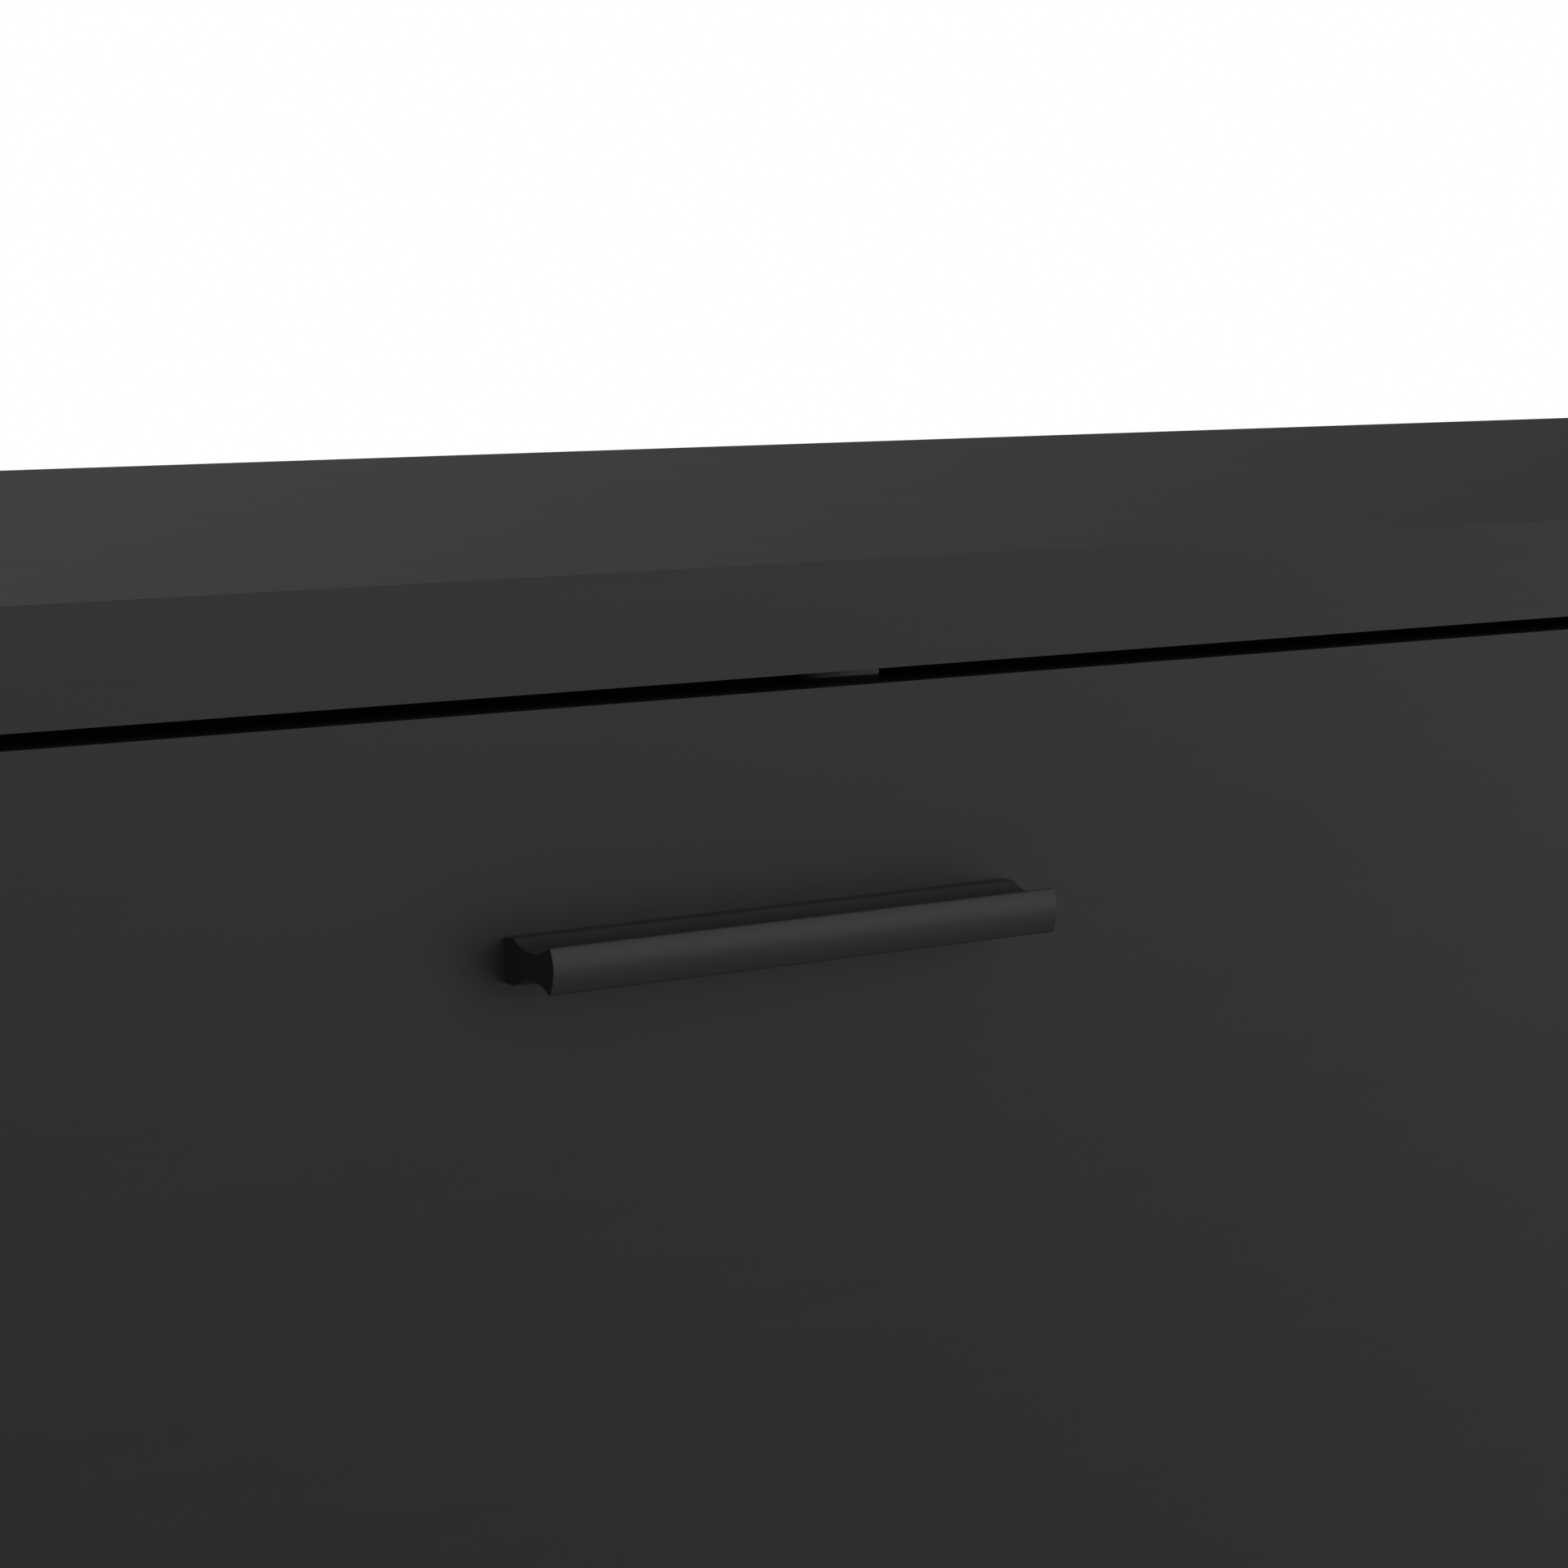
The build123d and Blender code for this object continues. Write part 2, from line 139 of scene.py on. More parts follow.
def spread(tree, value, low, high, start=0.35, end=0.65):
    """Map a pattern's middle range onto low to high."""
    remap = tree.nodes.new("ShaderNodeMapRange")
    remap.inputs["From Min"].default_value = start
    remap.inputs["From Max"].default_value = end
    remap.inputs["To Min"].default_value = low
    remap.inputs["To Max"].default_value = high
    tree.links.new(value, remap.inputs["Value"])
    return remap.outputs["Result"]


def shades(tree, value, dark, light, start=0.3, end=0.7):
    """Two close colours, mixed by a pattern."""
    ramp = tree.nodes.new("ShaderNodeValToRGB")
    first, last = ramp.color_ramp.elements
    first.position, last.position = start, end
    first.color, last.color = (*dark, 1.0), (*light, 1.0)
    tree.links.new(value, ramp.inputs["Fac"])
    return ramp.outputs["Color"]


def relief(tree, shader, height, depth, under=None):
    """Shade the surface as if a pattern stood depth metres high on it, over an earlier relief."""
    bump = tree.nodes.new("ShaderNodeBump")
    bump.inputs["Strength"].default_value = 1.0
    bump.inputs["Distance"].default_value = depth
    tree.links.new(height, bump.inputs["Height"])
    if under is not None:
        tree.links.new(under, bump.inputs["Normal"])
    tree.links.new(bump.outputs["Normal"], shader.inputs["Normal"])
    return bump.outputs["Normal"]


def finish_parts(names, finish):
    """Give CAD parts a finish in every material slot."""
    for name in names:
        for slot in parts[name].material_slots:
            slot.material = finish
    print(finish.name, "on", len(names), "parts")


# %% [markdown]
# ## Matte black foil
# The boards are particleboard wrapped in a printed black foil. Up close the foil isn't a flat
# colour: the press leaves fine streaks along the grain and an almost invisible pebble. A wood
# shader would be far too lively, so three stretched noises do the streaks: a long soft one
# for the tone, a finer one for the gloss and the finest for the relief. A round noise does
# the pebble. The grain runs sideways on the level boards and the fronts, and upright on the
# sides and the partition.

# %% Black foil
ALONG_X, ALONG_Z = "along_x", "along_z"


def stretched(direction, along, across):
    """Cells per metre for a grain that runs along X or along Z."""
    return (along, across, across) if direction == ALONG_X else (across, across, along)


def black_foil(direction):
    finish, tree, shader = start_finish(f"black_foil_{direction}", roughness=0.44, specular=0.5)
    tone = pattern(tree, stretched(direction, 9.0, 110.0), detail=5.0)
    colour = shades(tree, tone, (0.0095, 0.0096, 0.0102), (0.0108, 0.0109, 0.0115))
    tree.links.new(colour, shader.inputs["Base Color"])
    gloss = pattern(tree, stretched(direction, 30.0, 420.0), detail=3.0)
    tree.links.new(spread(tree, gloss, 0.43, 0.46), shader.inputs["Roughness"])
    streak = pattern(tree, stretched(direction, 110.0, 1600.0), detail=3.0)
    pebble = pattern(tree, (2600.0, 2600.0, 2600.0), detail=1.0)
    streak_relief = relief(tree, shader, streak, 0.003 * MM)
    relief(tree, shader, pebble, 0.006 * MM, under=streak_relief)
    return finish


level_foil = black_foil(ALONG_X)
upright_foil = black_foil(ALONG_Z)
level_boards = ["top_panel", "plinth", "left_bottom_panel", "right_bottom_panel"]
finish_parts(level_boards + [f"{drawer}_front" for drawer in drawers], level_foil)
finish_parts(["left_side_panel", "right_side_panel", "centre_partition"], upright_foil)

# %% [markdown]
# ## Rail darkened as painted shade
# The rail behind the top gap isn't wrapped in the foil: it gets a near-black, almost glossless
# finish as painted shade, so that the gap between the top and the fronts reads as one dark
# line. Fine fibre streaks take the place of the foil's pebble.

# %% Rail in painted shade
def rail_painted_shade():
    # Near-black base colour painted as the shade inside the top gap; the fibre streaks are real texture.
    finish, tree, shader = start_finish("rail_painted_shade", roughness=0.9, specular=0.06)
    fibres = pattern(tree, (60.0, 900.0, 900.0), detail=4.0)
    colour = shades(tree, fibres, (0.0016, 0.0016, 0.0018), (0.0040, 0.0040, 0.0043))
    tree.links.new(colour, shader.inputs["Base Color"])
    tree.links.new(spread(tree, fibres, 0.84, 0.95), shader.inputs["Roughness"])
    relief(tree, shader, fibres, 0.02 * MM)
    return finish


finish_parts(["front_rail"], rail_painted_shade())

# %% [markdown]
# ## Grey paper foil of the drawer boxes
# Inside, the thin drawer boards wear a cheaper paper foil in dark grey, embossed with a linen
# weave. Two noises, stretched across each other, cross like threads; their sum is both the
# relief and a slight change of tone.

# %% Drawer foil
def linen_foil():
    finish, tree, shader = start_finish("linen_foil", roughness=0.62, specular=0.3)
    warp = pattern(tree, (1400.0, 120.0, 120.0), detail=1.0)
    weft = pattern(tree, (120.0, 1400.0, 1400.0), detail=1.0)
    weave = tree.nodes.new("ShaderNodeMath")
    weave.operation = "ADD"
    tree.links.new(warp, weave.inputs[0])
    tree.links.new(weft, weave.inputs[1])
    colour = shades(tree, weave.outputs[0], (0.085, 0.086, 0.090), (0.120, 0.121, 0.126), 0.7, 1.3)
    tree.links.new(colour, shader.inputs["Base Color"])
    relief(tree, shader, weave.outputs[0], 0.02 * MM)
    return finish


box_boards = [f"{drawer}_{board}" for drawer in drawers for board in ("left_side", "right_side", "back")]
finish_parts(box_boards, linen_foil())

# %% [markdown]
# ## Thin hardboard
# The drawer bottoms and the back are 3 mm hardboard, which is pressed wood fibre. The paint
# is dark grey with the fibres just showing through. The drawer bottoms are painted all over,
# but the back panel shows its bare brown side to the wall. For that panel the finish reads
# which way the surface faces and paints only what faces the inside of the dresser, the way
# the sheet is painted before it is cut.

# %% Hardboard
PAINTED_DARK, PAINTED_LIGHT = (0.060, 0.061, 0.064), (0.085, 0.086, 0.090)
FIBRE_DARK, FIBRE_LIGHT = (0.165, 0.090, 0.045), (0.330, 0.200, 0.110)


def hardboard(name, bare_faces_back):
    finish, tree, shader = start_finish(name, roughness=0.7, specular=0.3)
    fibres = pattern(tree, (420.0, 420.0, 420.0), detail=6.0)
    blotches = pattern(tree, (22.0, 22.0, 22.0), detail=3.0)
    paint = shades(tree, fibres, PAINTED_DARK, PAINTED_LIGHT)
    if bare_faces_back:
        bare = shades(tree, fibres, FIBRE_DARK, FIBRE_LIGHT)
        mottle = tree.nodes.new("ShaderNodeMixRGB")
        mottle.blend_type = "MULTIPLY"
        mottle.inputs["Fac"].default_value = 0.5
        tree.links.new(bare, mottle.inputs["Color1"])
        clouds = shades(tree, blotches, (0.6, 0.6, 0.6), (1.0, 1.0, 1.0))
        tree.links.new(clouds, mottle.inputs["Color2"])
        facing = tree.nodes.new("ShaderNodeNewGeometry")
        across = tree.nodes.new("ShaderNodeSeparateXYZ")
        tree.links.new(facing.outputs["True Normal"], across.inputs["Vector"])
        sides = tree.nodes.new("ShaderNodeMixRGB")
        faces_inside = spread(tree, across.outputs["Y"], 1.0, 0.0, start=-0.6, end=-0.4)
        tree.links.new(faces_inside, sides.inputs["Fac"])
        tree.links.new(mottle.outputs["Color"], sides.inputs["Color1"])
        tree.links.new(paint, sides.inputs["Color2"])
        tree.links.new(sides.outputs["Color"], shader.inputs["Base Color"])
    else:
        tree.links.new(paint, shader.inputs["Base Color"])
    tree.links.new(spread(tree, blotches, 0.62, 0.78), shader.inputs["Roughness"])
    relief(tree, shader, fibres, 0.03 * MM)
    return finish


finish_parts([f"{drawer}_bottom" for drawer in drawers], hardboard("painted_hardboard", False))
finish_parts(["back_panel"], hardboard("back_hardboard", True))

# %% [markdown]
# ## Metal and plastic fittings
# Zinc plate on the screws and die-cast zinc in the cams are the same metal with different
# skins: the plate is bright with a fine grain, the casting is duller and cloudy. A metal's
# colour is its reflection, so both keep to two close greys and vary the roughness. The
# runners are pale moulded plastic with a soft mould grain, and the glides are black nylon.

# %% Fittings finishes
def zinc(name, dark, light, smooth, rough, grain):
    finish, tree, shader = start_finish(name, roughness=smooth, metallic=1.0)
    cloud = pattern(tree, (grain, grain, grain), detail=3.0)
    tree.links.new(shades(tree, cloud, dark, light), shader.inputs["Base Color"])
    tree.links.new(spread(tree, cloud, smooth, rough), shader.inputs["Roughness"])
    relief(tree, shader, cloud, 0.01 * MM)
    return finish


def moulded(name, dark, light, roughness, grain):
    finish, tree, shader = start_finish(name, roughness=roughness, specular=0.4)
    skin = pattern(tree, (grain, grain, grain), detail=2.0)
    flow = pattern(tree, (60.0, 6.0, 60.0), detail=2.0)
    tree.links.new(shades(tree, flow, dark, light), shader.inputs["Base Color"])
    tree.links.new(spread(tree, skin, roughness - 0.05, roughness + 0.07), shader.inputs["Roughness"])
    relief(tree, shader, skin, 0.012 * MM)
    return finish


cam_nodes = ["carcass_cam_fittings"] + [f"{drawer}_cam_fittings" for drawer in drawers]
screw_nodes = [f"{drawer}_handle_screws" for drawer in drawers]
cast_zinc = zinc(
    "cast_zinc", (0.34, 0.34, 0.35), (0.47, 0.47, 0.48), smooth=0.38, rough=0.55, grain=700.0
)
plated_zinc = zinc(
    "plated_zinc", (0.60, 0.61, 0.63), (0.72, 0.72, 0.72), smooth=0.22, rough=0.34, grain=1800.0
)
pale_plastic = moulded(
    "runner_plastic", (0.50, 0.50, 0.49), (0.57, 0.57, 0.56), roughness=0.48, grain=2200.0
)
black_nylon = moulded(
    "glide_nylon", (0.030, 0.030, 0.031), (0.040, 0.040, 0.041), roughness=0.52, grain=1500.0
)
finish_parts(cam_nodes, cast_zinc)
finish_parts(screw_nodes, plated_zinc)
finish_parts(["drawer_runners"], pale_plastic)
finish_parts(["floor_glides"], black_nylon)

# %% [markdown]
# ## Crisp but not razor edges
# A banded board is trimmed square and then the band's edge is scraped, which leaves a tiny
# round of 0.15 mm. Without it an edge has no highlight at all and looks like paper. A bevel
# modifier, limited to square corners, puts that round on every board in black foil and on the
# rail, and leaves the model's own mesh untouched.

# %% Scraped edges
BAND_ROUND = 0.15 * MM
SQUARE_CORNER = math.radians(60)


def scrape_edges(names):
    for name in names:
        scrape = parts[name].modifiers.new("scraped_edges", "BEVEL")
        scrape.width = BAND_ROUND
        scrape.segments = 2
        scrape.limit_method = "ANGLE"
        scrape.angle_limit = SQUARE_CORNER
        scrape.harden_normals = True
    print("scraped", len(names), "boards")


banded = level_boards + ["front_rail", "left_side_panel", "right_side_panel", "centre_partition"]
scrape_edges(banded + [f"{drawer}_front" for drawer in drawers])

# %% [markdown]
# ## Bar handles
# Each handle is a sawn length of aluminium extrusion. Its section is waisted: a lip stands
# against the front, the waist leaves room for fingertips, and the grip bows gently outwards.
# Drawing the section once as arcs and pulling it along the handle gives true curves, which a
# carved or lofted block wouldn't. The section's corners are rounded by calculation, because
# they are part of the die; only the sawn ends get a bevel modifier, like a pass of a file.

# %% Handle section
LIP_REACH, LIP_HALF = 3.3 * MM, 4.5 * MM
GRIP_EDGE, GRIP_HALF = 15.8 * MM, 4.75 * MM
WAIST_HALF = 2.6 * MM
CORNER_ROUND = 0.6 * MM
ARC_STEPS = 12
CORNER_STEPS = 6


def arc_through(start, middle, end, steps):
    """Points from start up to, but without, end, on the circle through all three."""
    (ax, ay), (bx, by), (cx, cy) = start, middle, end
    twice_area = 2 * (ax * (by - cy) + bx * (cy - ay) + cx * (ay - by))
    a_square, b_square, c_square = ax * ax + ay * ay, bx * bx + by * by, cx * cx + cy * cy
    centre_x = (a_square * (by - cy) + b_square * (cy - ay) + c_square * (ay - by)) / twice_area
    centre_y = (a_square * (cx - bx) + b_square * (ax - cx) + c_square * (bx - ax)) / twice_area
    radius = math.hypot(ax - centre_x, ay - centre_y)
    first = math.atan2(ay - centre_y, ax - centre_x)
    turn = math.atan2(cy - centre_y, cx - centre_x) - first
    turn = (turn + math.pi) % (2 * math.pi) - math.pi
    angles = [first + turn * step / steps for step in range(1, steps)]
    return [start] + [(centre_x + radius * math.cos(a), centre_y + radius * math.sin(a)) for a in angles]


def rounded_corner(before, corner, after):
    """Points of the round that replaces a corner between two neighbours on the outline."""
    corner = Vector(corner)
    back = (Vector(before) - corner).normalized()
    ahead = (Vector(after) - corner).normalized()
    half_angle = back.angle(ahead) / 2
    reach = CORNER_ROUND / math.tan(half_angle)
    depth = CORNER_ROUND / math.sin(half_angle) - CORNER_ROUND
    start, end = corner + back * reach, corner + ahead * reach
    deepest = corner + (back + ahead).normalized() * depth
    return arc_through(tuple(start), tuple(deepest), tuple(end), CORNER_STEPS) + [tuple(end)]


def handle_section(reach):
    """The outline as (distance out from the front, height above the handle's middle)."""
    waist_out = (LIP_REACH + GRIP_EDGE) / 2
    lip, edge = (LIP_REACH, LIP_HALF), (GRIP_EDGE, GRIP_HALF)
    lower_lip, lower_edge = (LIP_REACH, -LIP_HALF), (GRIP_EDGE, -GRIP_HALF)
    rear = [(0.0, -LIP_HALF), (0.0, LIP_HALF)]
    points = rear + arc_through(lip, (waist_out, WAIST_HALF), edge, ARC_STEPS)
    points += arc_through(edge, (reach, 0.0), lower_edge, ARC_STEPS)
    points += arc_through(lower_edge, (waist_out, -WAIST_HALF), lower_lip, ARC_STEPS) + [lower_lip]
    corners = [*rear, lip, edge, lower_edge, lower_lip]
    outline = []
    for here, point in enumerate(points):
        after = points[(here + 1) % len(points)]
        outline += rounded_corner(points[here - 1], point, after) if point in corners else [point]
    return outline


shown_low, shown_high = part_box(f"{SHOWN_DRAWER}_handle")
print("points around a handle", len(handle_section(shown_high[1] - shown_low[1])))

# %% [markdown]
# ## Sawn to length
# A long bar of the extrusion is sawn into handles and the ends are eased with a file. The
# outline is placed at both ends and joined by long faces, which is how an extrusion really
# is: straight along its length, with all its shape in the section. Each handle takes its
# length and its reach from the box of the plain handle that it stands in for.

# %% Pull the section along the handle
FILED_END = 0.2 * MM


def extrude_handle(name, low, high):
    """A handle between two corners: low is its outer left lower corner, high its upper rear right."""
    middle_z = (high[2] + low[2]) / 2
    section = handle_section(high[1] - low[1])
    shape = bmesh.new()
    ends = []
    for x in (low[0], high[0]):
        ends.append([shape.verts.new((x, high[1] - out, middle_z + up)) for out, up in section])
    left, right = ends
    shape.faces.new(left)
    shape.faces.new(reversed(right))
    for here in range(len(section)):
        after = (here + 1) % len(section)
        shape.faces.new((left[here], right[here], right[after], left[after]))
    bmesh.ops.recalc_face_normals(shape, faces=shape.faces)
    mesh = bpy.data.meshes.new(name)
    shape.to_mesh(mesh)
    shape.free()
    mesh.shade_smooth()
    handle = bpy.data.objects.new(name, mesh)
    bpy.context.collection.objects.link(handle)
    filed = handle.modifiers.new("filed_end", "BEVEL")
    filed.width = FILED_END
    filed.segments = 3
    filed.limit_method = "ANGLE"
    filed.angle_limit = SQUARE_CORNER
    filed.harden_normals = True
    return handle


# %% [markdown]
# ## Powder coat
# Powder melts into a skin with a very fine orange peel, a touch rougher than the foil. The
# peel is a round noise about a third of a millimetre across, and the tone and the gloss
# wander slowly along the bar.

# %% Handles
def powder_coat():
    finish, tree, shader = start_finish("powder_coat", roughness=0.5, specular=0.55)
    cloud = pattern(tree, (35.0, 120.0, 120.0), detail=3.0)
    colour = shades(tree, cloud, (0.0050, 0.0051, 0.0054), (0.0064, 0.0065, 0.0069))
    tree.links.new(colour, shader.inputs["Base Color"])
    tree.links.new(spread(tree, cloud, 0.48, 0.53), shader.inputs["Roughness"])
    peel = pattern(tree, (3000.0, 3000.0, 3000.0), detail=1.0)
    relief(tree, shader, peel, 0.01 * MM)
    return finish


coat = powder_coat()
for drawer in drawers:
    handle = extrude_handle(f"{drawer}_bar_handle", *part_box(f"{drawer}_handle"))
    handle.data.materials.append(coat)
    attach(handle, drawer)
    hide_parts(f"{drawer}_handle")
print("handles", len(drawers))

# %% [markdown]
# ## Bump pads
# A drawer closing against a bare rail would knock, so a small grey foam pad is stuck on the
# rail in each column, a little to the right of the upper drawer's middle. Each pad is die-cut
# from a sheet, so its outline is a rounded rectangle. Its edge is stepped in by three rings,
# which makes the face swell slightly. Its colour is darkened towards its left end as painted
# shade, for the light falling off deeper in the gap.

# %% Bump pads
PAD_THICKNESS = 1.2 * MM
PAD_CORNER = 1.6 * MM
# Each ring of a pad's edge: how far in it lies, and at which share of the thickness.
PAD_EDGE = ((0.0, 0.0), (0.1 * MM, 0.7), (0.45 * MM, 1.0))
# Colour of the painted shade at the pad's left end, for the light falling off deeper in the gap.
PAD_PAINTED_SHADE = (0.004, 0.004, 0.004)


def rounded_outline(half_width, half_height, corner):
    """A rounded rectangle around the origin, counter-clockwise."""
    points = []
    for quarter, (side_x, side_y) in enumerate(((1, 1), (-1, 1), (-1, -1), (1, -1))):
        centre_x, centre_y = side_x * (half_width - corner), side_y * (half_height - corner)
        for step in range(CORNER_STEPS + 1):
            angle = math.radians(90 * quarter + 90 * step / CORNER_STEPS)
            points.append((centre_x + corner * math.cos(angle), centre_y + corner * math.sin(angle)))
    return points


def add_pad(shape, centre, width, height):
    """One pad on the surface at centre, swelling towards -Y in three rings."""
    rings = []
    for shrink, lift in PAD_EDGE:
        outline = rounded_outline(width / 2 - shrink, height / 2 - shrink, PAD_CORNER - shrink)
        y = centre[1] - PAD_THICKNESS * lift
        rings.append([shape.verts.new((centre[0] + x, y, centre[2] + z)) for x, z in outline])
    for under, over in zip(rings, rings[1:]):
        for here in range(len(under)):
            after = (here + 1) % len(under)
            shape.faces.new((under[here], under[after], over[after], over[here]))
    shape.faces.new(rings[-1])
    shape.faces.new(reversed(rings[0]))


def piece_from(shape, name, finish):
    """Turn a finished shape into a piece with one finish."""
    bmesh.ops.recalc_face_normals(shape, faces=shape.faces)
    mesh = bpy.data.meshes.new(name)
    shape.to_mesh(mesh)
    shape.free()
    mesh.materials.append(finish)
    piece = bpy.data.objects.new(name, mesh)
    bpy.context.collection.objects.link(piece)
    return piece


def pad_foam():
    finish, tree, shader = start_finish("pad_foam", roughness=0.8, specular=0.2)
    cells = pattern(tree, (2500.0, 2500.0, 2500.0), detail=3.0)
    place = tree.nodes.new("ShaderNodeTexCoord")
    along = tree.nodes.new("ShaderNodeSeparateXYZ")
    tree.links.new(place.outputs["Generated"], along.inputs["Vector"])
    # Painted shade: the foam's colour darkens towards the pad's left end.
    lit_share = spread(tree, along.outputs["X"], 0.0, 1.0, start=0.05, end=0.95)
    painted_shade_fade = tree.nodes.new("ShaderNodeMixRGB")
    painted_shade_fade.inputs["Color1"].default_value = (*PAD_PAINTED_SHADE, 1.0)
    tree.links.new(lit_share, painted_shade_fade.inputs["Fac"])
    tree.links.new(shades(tree, cells, (0.30, 0.30, 0.30), (0.42, 0.42, 0.41)), painted_shade_fade.inputs["Color2"])
    tree.links.new(painted_shade_fade.outputs["Color"], shader.inputs["Base Color"])
    relief(tree, shader, cells, 0.05 * MM)
    return finish


rail_low, rail_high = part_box("front_rail")
PAD_WIDTH, PAD_HEIGHT = 20.5 * MM, 11.0 * MM
PAD_FROM_MIDDLE = 29.2 * MM
PAD_BELOW_TOP = 1.0 * MM
foam = pad_foam()
columns = ("left", "right")
for column in columns:
    low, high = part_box(f"upper_{column}_drawer_front")
    pad_x = (low[0] + high[0]) / 2 + PAD_FROM_MIDDLE
    pad_z = rail_high[2] - PAD_BELOW_TOP - PAD_HEIGHT / 2
    pad_shape = bmesh.new()
    add_pad(pad_shape, (pad_x, rail_low[1], pad_z), PAD_WIDTH, PAD_HEIGHT)
    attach(piece_from(pad_shape, f"{column}_rail_bump_pad", foam), "carcass")
print("bump pads on the rail", len(columns))

# %% [markdown]
# ## Nails of the back panel
# The back is nailed over the rear edges of the boards with small nails about 125 mm apart,
# into the sides, the partition and the two bottoms. Each head is a low dome in the same zinc
# plate as the screws. All of them are one piece, because nobody takes them out one by one.

# %% Back nails
HEAD_RADIUS = 2.6 * MM
HEAD_RISE = 0.7 * MM
# Each ring of a head: its share of the radius, and its share of the rise.
HEAD_DOME = ((1.0, 0.0), (0.96, 0.45), (0.55, 0.85))
HEAD_STEPS = 16
NAIL_SPACING = 125 * MM
NAIL_ABOVE_BOTTOM = 40 * MM
NAIL_BELOW_TOP = 25 * MM
NAIL_FROM_SIDE = 60 * MM


def add_nail(shape, x, y, z):
    """A low domed head standing on the back panel, facing +Y."""
    rings = []
    for share, rise in HEAD_DOME:
        radius = HEAD_RADIUS * share
        ring = []
        for step in range(HEAD_STEPS):
            angle = 2 * math.pi * step / HEAD_STEPS
            across, up = radius * math.cos(angle), radius * math.sin(angle)
            ring.append(shape.verts.new((x + across, y + HEAD_RISE * rise, z + up)))
        rings.append(ring)
    tip = shape.verts.new((x, y + HEAD_RISE, z))
    for under, over in zip(rings, rings[1:]):
        for here in range(HEAD_STEPS):
            after = (here + 1) % HEAD_STEPS
            shape.faces.new((under[here], under[after], over[after], over[here]))
    for here in range(HEAD_STEPS):
        shape.faces.new((rings[-1][here], rings[-1][(here + 1) % HEAD_STEPS], tip))
    shape.faces.new(rings[0])


def evenly(start, end, spacing):
    """Places from start to end, both included, about spacing apart."""
    count = max(1, round((end - start) / spacing))
    return [start + (end - start) * step / count for step in range(count + 1)]


back_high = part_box("back_panel")[1]
side_low, side_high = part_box("right_side_panel")
bottom_low, bottom_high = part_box("left_bottom_panel")
side_middle = (side_low[0] + side_high[0]) / 2
bottom_middle = (bottom_low[2] + bottom_high[2]) / 2
heights = evenly(bottom_middle + NAIL_ABOVE_BOTTOM, back_high[2] - NAIL_BELOW_TOP, NAIL_SPACING)
nail_places = [(x, z) for x in (-side_middle, 0.0, side_middle) for z in heights]
for x in evenly(-side_middle + NAIL_FROM_SIDE, side_middle - NAIL_FROM_SIDE, NAIL_SPACING):
    nail_places.append((x, bottom_middle))
nails = bmesh.new()
for x, z in nail_places:
    add_nail(nails, x, back_high[1], z)
back_nails = piece_from(nails, "back_nails", plated_zinc)
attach(back_nails, "carcass")
print("back nails", len(nail_places))

# %% [markdown]
# ## Floor
# The dresser stands on a pale disc that fades into the white, so that no horizon line shows
# from any side. The camera sees the disc nearly white, but the light that bounces off it is
# a dimmer grey, or the lower part of the fronts would wash out. The disc is made of rings,
# which keeps its faces small.

# %% Floor
FLOOR_RADIUS = 4.5
FADE_START = 1.6
FLOOR_RINGS = 24
FLOOR_SPOKES = 96
BOUNCE_GREY = (0.60, 0.60, 0.60)


def pale_floor():
    finish, tree, shader = start_finish("pale_floor", roughness=0.7, specular=0.2)
    dust = pattern(tree, (3.0, 3.0, 3.0), detail=5.0)
    looking = tree.nodes.new("ShaderNodeLightPath")
    seen_or_lit = tree.nodes.new("ShaderNodeMixRGB")
    seen_or_lit.inputs["Color1"].default_value = (*BOUNCE_GREY, 1.0)
    tree.links.new(looking.outputs["Is Camera Ray"], seen_or_lit.inputs["Fac"])
    pale = shades(tree, dust, (0.90, 0.90, 0.895), (0.94, 0.94, 0.935))
    tree.links.new(pale, seen_or_lit.inputs["Color2"])
    tree.links.new(seen_or_lit.outputs["Color"], shader.inputs["Base Color"])
    place = tree.nodes.new("ShaderNodeTexCoord")
    distance = tree.nodes.new("ShaderNodeVectorMath")
    distance.operation = "LENGTH"
    tree.links.new(place.outputs["Object"], distance.inputs[0])
    fade = spread(tree, distance.outputs["Value"], 1.0, 0.0, start=FADE_START, end=FLOOR_RADIUS)
    tree.links.new(fade, shader.inputs["Alpha"])
    return finish


disc = bmesh.new()
rings = []
for number in range(1, FLOOR_RINGS + 1):
    radius = FLOOR_RADIUS * number / FLOOR_RINGS
    ring = []
    for spoke in range(FLOOR_SPOKES):
        angle = 2 * math.pi * spoke / FLOOR_SPOKES
        ring.append(disc.verts.new((radius * math.cos(angle), radius * math.sin(angle), 0.0)))
    rings.append(ring)
disc.faces.new(rings[0])
for inner, outer in zip(rings, rings[1:]):
    for here in range(FLOOR_SPOKES):
        after = (here + 1) % FLOOR_SPOKES
        disc.faces.new((inner[here], outer[here], outer[after], inner[after]))
floor = piece_from(disc, "floor", pale_floor())
print("floor rings", len(rings), "radius", FLOOR_RADIUS)

# %% [markdown]
# ## Lamps
# Black boards show mostly what they reflect, so the lamps are large and soft. One stands in
# front and above, a weak one to the right puts a faint sheen on the fronts, and a
# third, the strongest, stands behind on the left and lifts the top and the back. Nothing
# bright stands in front on the left, which keeps the left ends of the handles dark. All
# share one slightly cool tint.

# %% Lights
STUDIO_TINT = (0.972, 0.980, 1.0)


def softbox(name, place, aim, size, power):
    """A square lamp at place, turned to shine at aim."""
    lamp = bpy.data.lights.new(name, "AREA")
    lamp.shape = "SQUARE"
    lamp.size = size
    lamp.energy = power
    lamp.color = STUDIO_TINT
    holder = bpy.data.objects.new(name, lamp)
    holder.location = place
    holder.rotation_euler = (Vector(aim) - Vector(place)).to_track_quat("-Z", "Y").to_euler()
    bpy.context.collection.objects.link(holder)


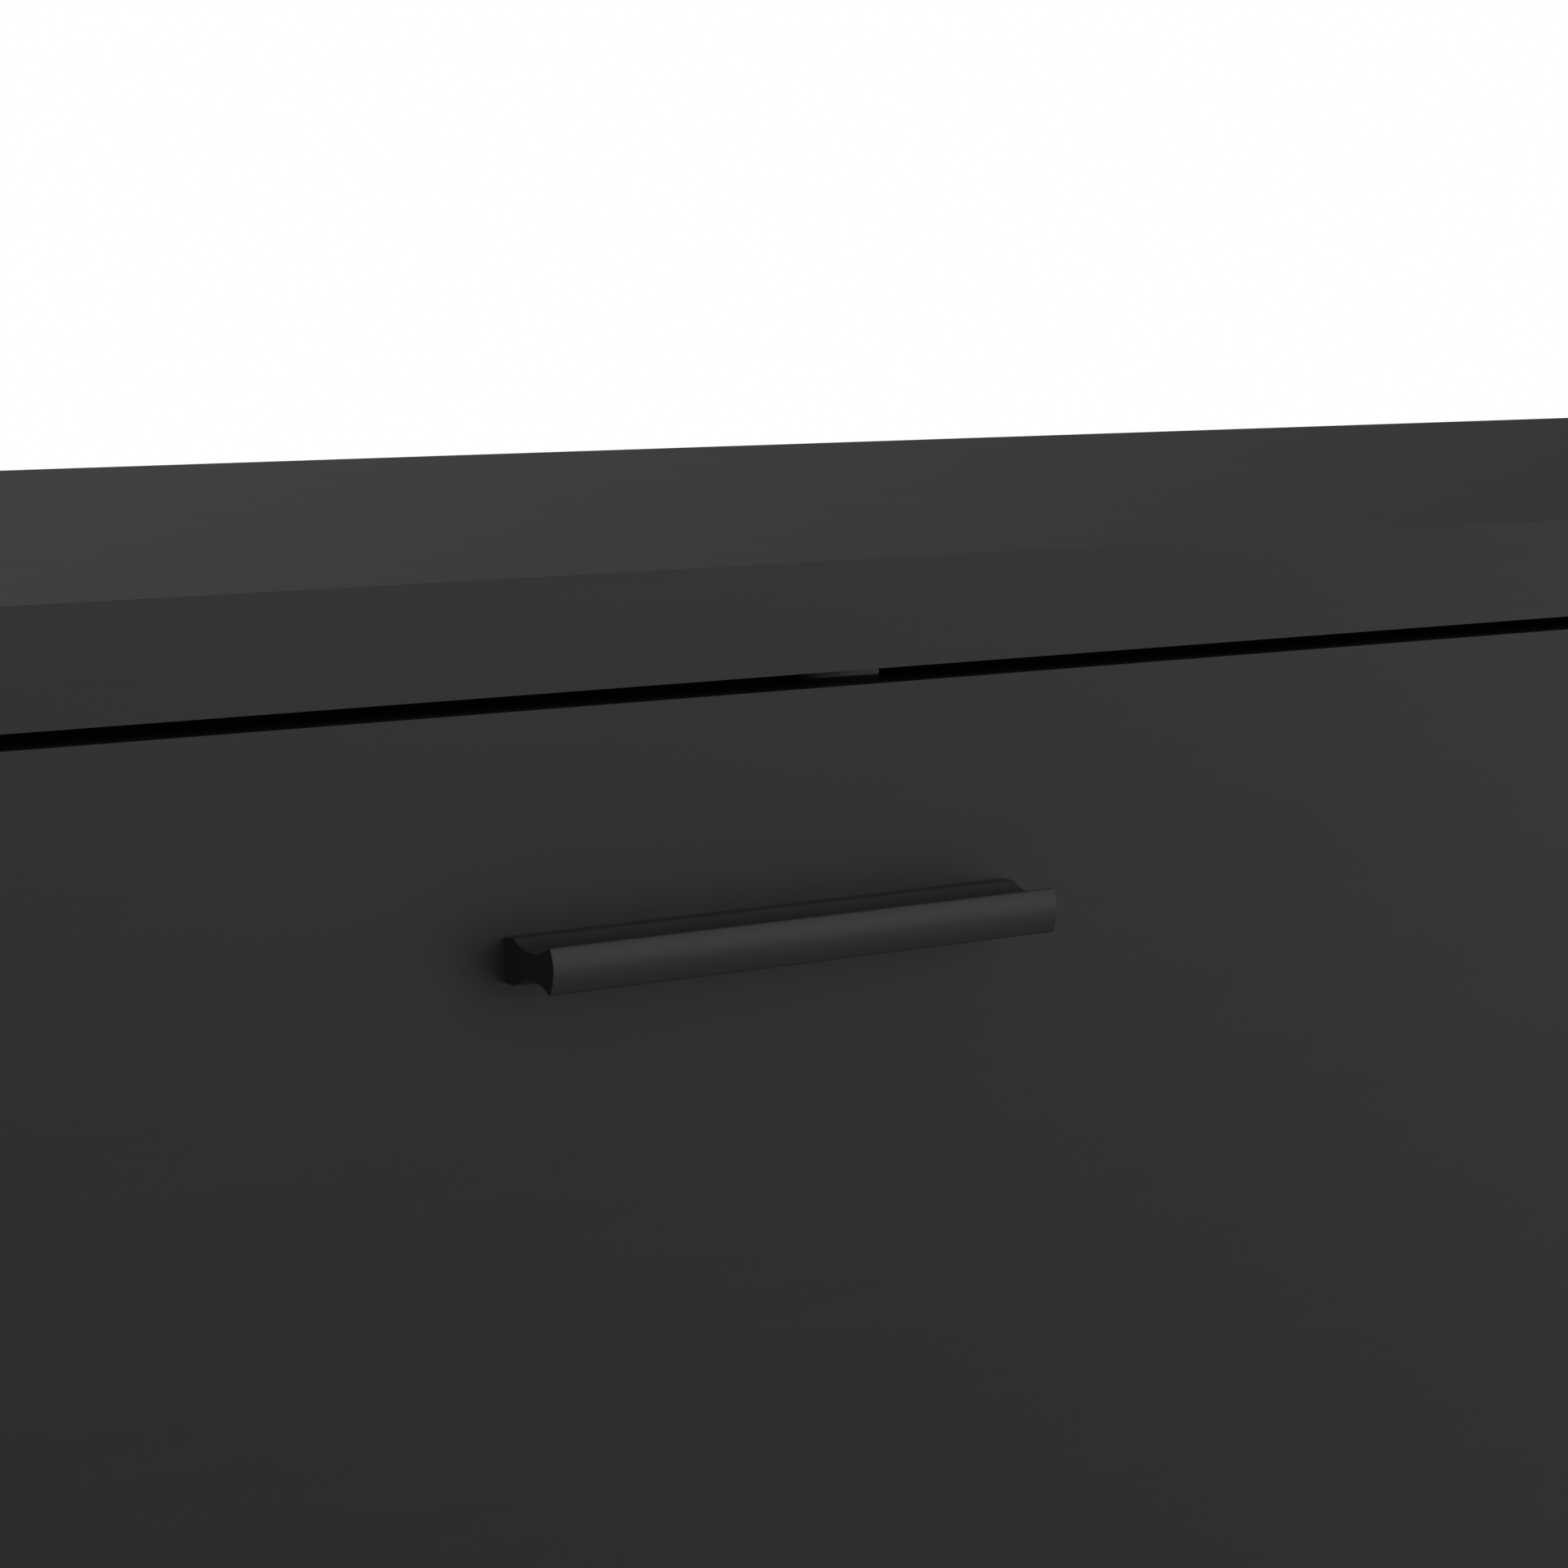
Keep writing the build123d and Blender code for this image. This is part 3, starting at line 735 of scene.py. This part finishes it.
middle = ((cad_box[0][0] + cad_box[1][0]) / 2, 0.0, (cad_box[0][2] + cad_box[1][2]) / 2)
softbox("side_softbox", (3.2, -1.9, 0.55), middle, size=1.0, power=3.5)
softbox("front_softbox", (1.2, -3.6, 1.9), middle, size=2.2, power=19.0)
softbox("rear_fill", (-3.0, 2.2, 2.4), middle, size=2.0, power=30.0)
print("lamps", len(bpy.data.lights))

# %% [markdown]
# ## White surround
# The surround is pure white only where the camera looks straight at it. What lights the
# dresser is a dimmer grey, or the black foil would wash out. It brightens from below to
# above, and darkens from the front towards the back with a small rise straight behind. Seen
# at a low angle the top mirrors what lies behind it, so that part helps to set how bright
# it looks.

# %% Surround
SURROUND_LEVEL = 0.89
# How bright the surround is, by how far up (Z) and how far back (Y) a direction points.
SKY_BY_HEIGHT = ((-0.4, 0.40), (0.35, 0.77), (1.0, 0.79))
SKY_BY_DEPTH = ((-0.2, 1.0), (0.45, 0.17), (0.64, 0.17), (1.0, 0.42))


def ramp(tree, value, stops):
    """Studio light that follows a list of (value, level) stops between -1 and 1."""
    blend = tree.nodes.new("ShaderNodeValToRGB")
    tree.links.new(spread(tree, value, 0.0, 1.0, start=-1.0, end=1.0), blend.inputs["Fac"])
    marks = blend.color_ramp.elements
    while len(marks) < len(stops):
        marks.new(1.0)
    for mark, (place, grey) in zip(marks, stops):
        mark.position = (place + 1) / 2
        mark.color = (*[grey * share for share in STUDIO_TINT], 1.0)
    return blend.outputs["Color"]


def surround(light_level):
    world = bpy.data.worlds.new("studio_surround")
    world.use_nodes = True
    tree = world.node_tree
    seen = tree.nodes["Background"]
    seen.inputs["Color"].default_value = (1.0, 1.0, 1.0, 1.0)
    seen.inputs["Strength"].default_value = 1.0
    lighting = tree.nodes.new("ShaderNodeBackground")
    lighting.inputs["Strength"].default_value = light_level
    direction = tree.nodes.new("ShaderNodeTexCoord")
    ways = tree.nodes.new("ShaderNodeSeparateXYZ")
    tree.links.new(direction.outputs["Generated"], ways.inputs["Vector"])
    shaded = tree.nodes.new("ShaderNodeVectorMath")
    shaded.operation = "MULTIPLY"
    tree.links.new(ramp(tree, ways.outputs["Z"], SKY_BY_HEIGHT), shaded.inputs[0])
    tree.links.new(ramp(tree, ways.outputs["Y"], SKY_BY_DEPTH), shaded.inputs[1])
    tree.links.new(shaded.outputs["Vector"], lighting.inputs["Color"])
    looking = tree.nodes.new("ShaderNodeLightPath")
    choose = tree.nodes.new("ShaderNodeMixShader")
    tree.links.new(looking.outputs["Is Camera Ray"], choose.inputs["Fac"])
    tree.links.new(lighting.outputs["Background"], choose.inputs[1])
    tree.links.new(seen.outputs["Background"], choose.inputs[2])
    tree.links.new(choose.outputs["Shader"], tree.nodes["World Output"].inputs["Surface"])
    bpy.context.scene.world = world


surround(SURROUND_LEVEL)
print("surround level", SURROUND_LEVEL)
